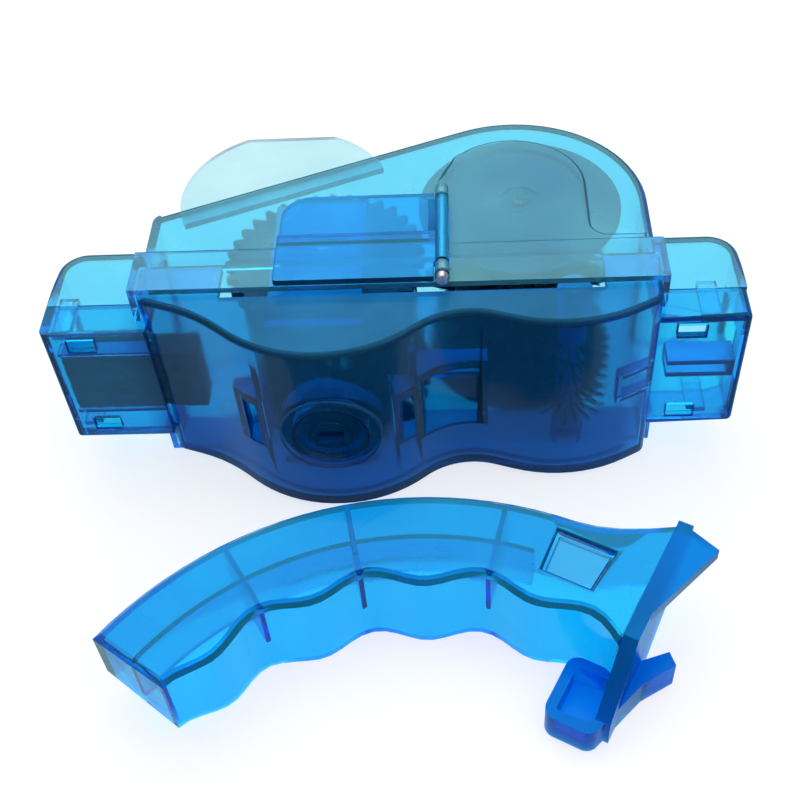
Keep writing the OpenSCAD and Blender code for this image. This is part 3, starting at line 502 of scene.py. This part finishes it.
def slope_step(bm):
    """Turns the small step round the grip's top edge into a slope."""
    ring = [v for v in bm.verts if abs(v.co.z / MM - 22.4) < 0.02]
    inner = [v for v in ring if any(e.other_vert(v).co.z / MM > 23.9 for e in v.link_edges)]
    taken = set(inner)
    outer = [v for v in ring if v not in taken]
    target = {}
    for v in inner:
        near = min(outer, key=lambda o: (o.co - v.co).length)
        if (near.co - v.co).length < 2.3 * MM:
            target[v] = near
    bmesh.ops.weld_verts(bm, targetmap=target)


MID_Z = 28.3  # the ports' middle plane, in millimetres


def at_mouth(x, y, z):
    return abs(x) > 79 and abs(z - MID_Z) < 9 and 6 < y < 22


def port_outline(x, y, z):
    """The outer edges of both ports, apart from their mouths, the joint line and the floor."""
    outer = abs(z - MID_Z) > 17.9 or y > 27.5 or y < 0.3
    joint_line = 8.5 < y < 10.5
    inside_floor = y < 0.3 and abs(z - MID_Z) < 17.5 and abs(x) < 80
    return abs(x) > 63.5 and outer and not (at_mouth(x, y, z) or joint_line or inside_floor)


moulded("lid", [
    # the splash guard's slot stays plain: there is no room for a rounding under the rim's
    (lambda x, y, z: 49 < z < 54.2 and y > 30 and -56 < x < -1, 0),
    (lambda x, y, z: z > 55.7 and y > 18 and x > 15, ARCH),
    (lambda x, y, z: z > 54.3 and y > 17.6 and -57 < x and not 9 < x < 50, RIM),
    (lambda x, y, z: z > 54.3 and y > 42, RIM),
    (lambda x, y, z: z > 54.9, 0.6),
    (port_outline, PORT),
    (lambda x, y, z: y > 20 and z < 1 and abs(x) < 57, BACK),
    (anywhere, 0.35),
# painted shade: the steps of the lid's raised front, seen edge-on, take the darker edge material
], dark=lambda x, y, z, n: 54.85 < z < 55.95 and y > 17.5 and n.z < 0.9)
moulded("tank", [
    (lambda x, y, z: z > 54.3 and y < 2, RIM),
    (port_outline, PORT),
    (lambda x, y, z: z < 2.2 and y < 2, 1.5),
    (anywhere, 0.35),
])
moulded("latch", [(anywhere, 0.7)], 3)
moulded("handle_grip", [(anywhere, 0.9)], 4, slope_step)
moulded("handle_bracket", [(anywhere, 0.8)], 3)
for plain, width in {"magnet_plug": 0.35, "outlet_guide": 0.25, "release_tongue": 0.3,
                     "upper_wheel": 0.25, "front_brush_disc": 0.25,
                     "rear_brush_disc": 0.25}.items():
    moulded(plain, [(anywhere, width)], 2)

side_tufts("front_bristles", "front_brush_disc", -1, 1)
side_tufts("rear_bristles", "rear_brush_disc", 1, 2)
for end, seed in (("front", 3), ("rear", 4)):
    node = "upper_bristles_" + end
    low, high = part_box(node)
    pitch = 4.4 * MM
    first = (low[2] + high[2]) / 2 - 1.5 * pitch
    radial_tufts(node, "upper_wheel", [first + k * pitch for k in range(4)], 20, 5.2, 21.9,
                 12, seed)
low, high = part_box("lower_bristles")
first = (low[2] + high[2]) / 2 - 2 * 5 * MM
radial_tufts("lower_bristles", "lower_brush_hub", [first + k * 5 * MM for k in range(5)],
             18, 3.1, 9.1, 8, 6)
foam_block("lower_sponge")

# ---------------------------------------------------------------- stage and light


def stage():
    bm = bmesh.new()
    bmesh.ops.create_circle(bm, cap_ends=True, segments=96, radius=3.0)
    mesh = bpy.data.meshes.new("floor")
    bm.to_mesh(mesh)
    bm.free()
    floor = bpy.data.objects.new("floor", mesh)
    floor.location = (0, 0, -0.0002)
    SCENE.collection.objects.link(floor)
    t = Tree("floor")
    matte = t.node("BsdfDiffuse")
    matte.inputs["Color"].default_value = (0.42, 0.42, 0.42, 1)
    glow = t.node("Emission")
    path = t.node("LightPath")
    seen = t.node("Math", operation="MAXIMUM")
    t.link(path.outputs["Is Camera Ray"], seen.inputs[0])
    t.link(path.outputs["Is Glossy Ray"], seen.inputs[1])
    part = t.node("Math", operation="MULTIPLY")
    t.link(seen.outputs[0], part.inputs[0])
    # the lamps fall off with distance, so the glow rises towards the horizon
    place = t.node("TexCoord")
    far = t.node("VectorMath", operation="LENGTH")
    t.link(place.outputs["Object"], far.inputs[0])
    rise = t.node("MapRange")
    rise.inputs["From Min"].default_value = 0.4
    rise.inputs["From Max"].default_value = 1.6
    rise.inputs["To Min"].default_value = 0.7
    rise.inputs["To Max"].default_value = 0.97
    t.link(far.outputs["Value"], rise.inputs["Value"])
    t.link(rise.outputs[0], part.inputs[1])
    t.link(part.outputs[0], glow.inputs["Strength"])
    both = t.node("AddShader")
    t.link(matte.outputs[0], both.inputs[0])
    t.link(glow.outputs[0], both.inputs[1])
    t.link(both.outputs[0], t.out.inputs["Surface"])
    mesh.materials.append(t.mat)


def lamp(name, place, aim, size, power, colour=(1, 1, 1)):
    data = bpy.data.lights.new(name, "AREA")
    data.shape = "RECTANGLE"
    data.size, data.size_y = size
    data.energy = power
    data.color = colour
    obj = bpy.data.objects.new(name, data)
    obj.location = place
    obj.rotation_euler = (Vector(aim) - Vector(place)).to_track_quat("-Z", "Y").to_euler()
    SCENE.collection.objects.link(obj)


stage()
lamp("key", (-0.10, 0.45, 0.95), (0, 0, 0), (1.4, 1.2), 9.0)
lamp("fill", (0.55, -0.30, 0.8), (0, -0.02, 0), (0.7, 0.7), 2.4)

world = bpy.data.worlds.new("world")
SCENE.world = world
world.use_nodes = True
wt = world.node_tree
wt.nodes.clear()
wo = wt.nodes.new("ShaderNodeOutputWorld")
bg = wt.nodes.new("ShaderNodeBackground")
lp = wt.nodes.new("ShaderNodeLightPath")
mx = wt.nodes.new("ShaderNodeMath")
mx.operation = "MAXIMUM"
rng = wt.nodes.new("ShaderNodeMapRange")
rng.inputs["To Min"].default_value = 0.24
rng.inputs["To Max"].default_value = 1.0
bg.inputs["Color"].default_value = (1, 1, 1, 1)
wt.links.new(lp.outputs["Is Camera Ray"], mx.inputs[0])
wt.links.new(lp.outputs["Is Transmission Ray"], mx.inputs[1])
wt.links.new(mx.outputs[0], rng.inputs["Value"])
wt.links.new(rng.outputs[0], bg.inputs["Strength"])
wt.links.new(bg.outputs[0], wo.inputs["Surface"])

SCENE.view_settings.view_transform = "Standard"
SCENE.cycles.transparent_max_bounces = 64
SCENE.cycles.max_bounces = 32
SCENE.cycles.transmission_bounces = 32
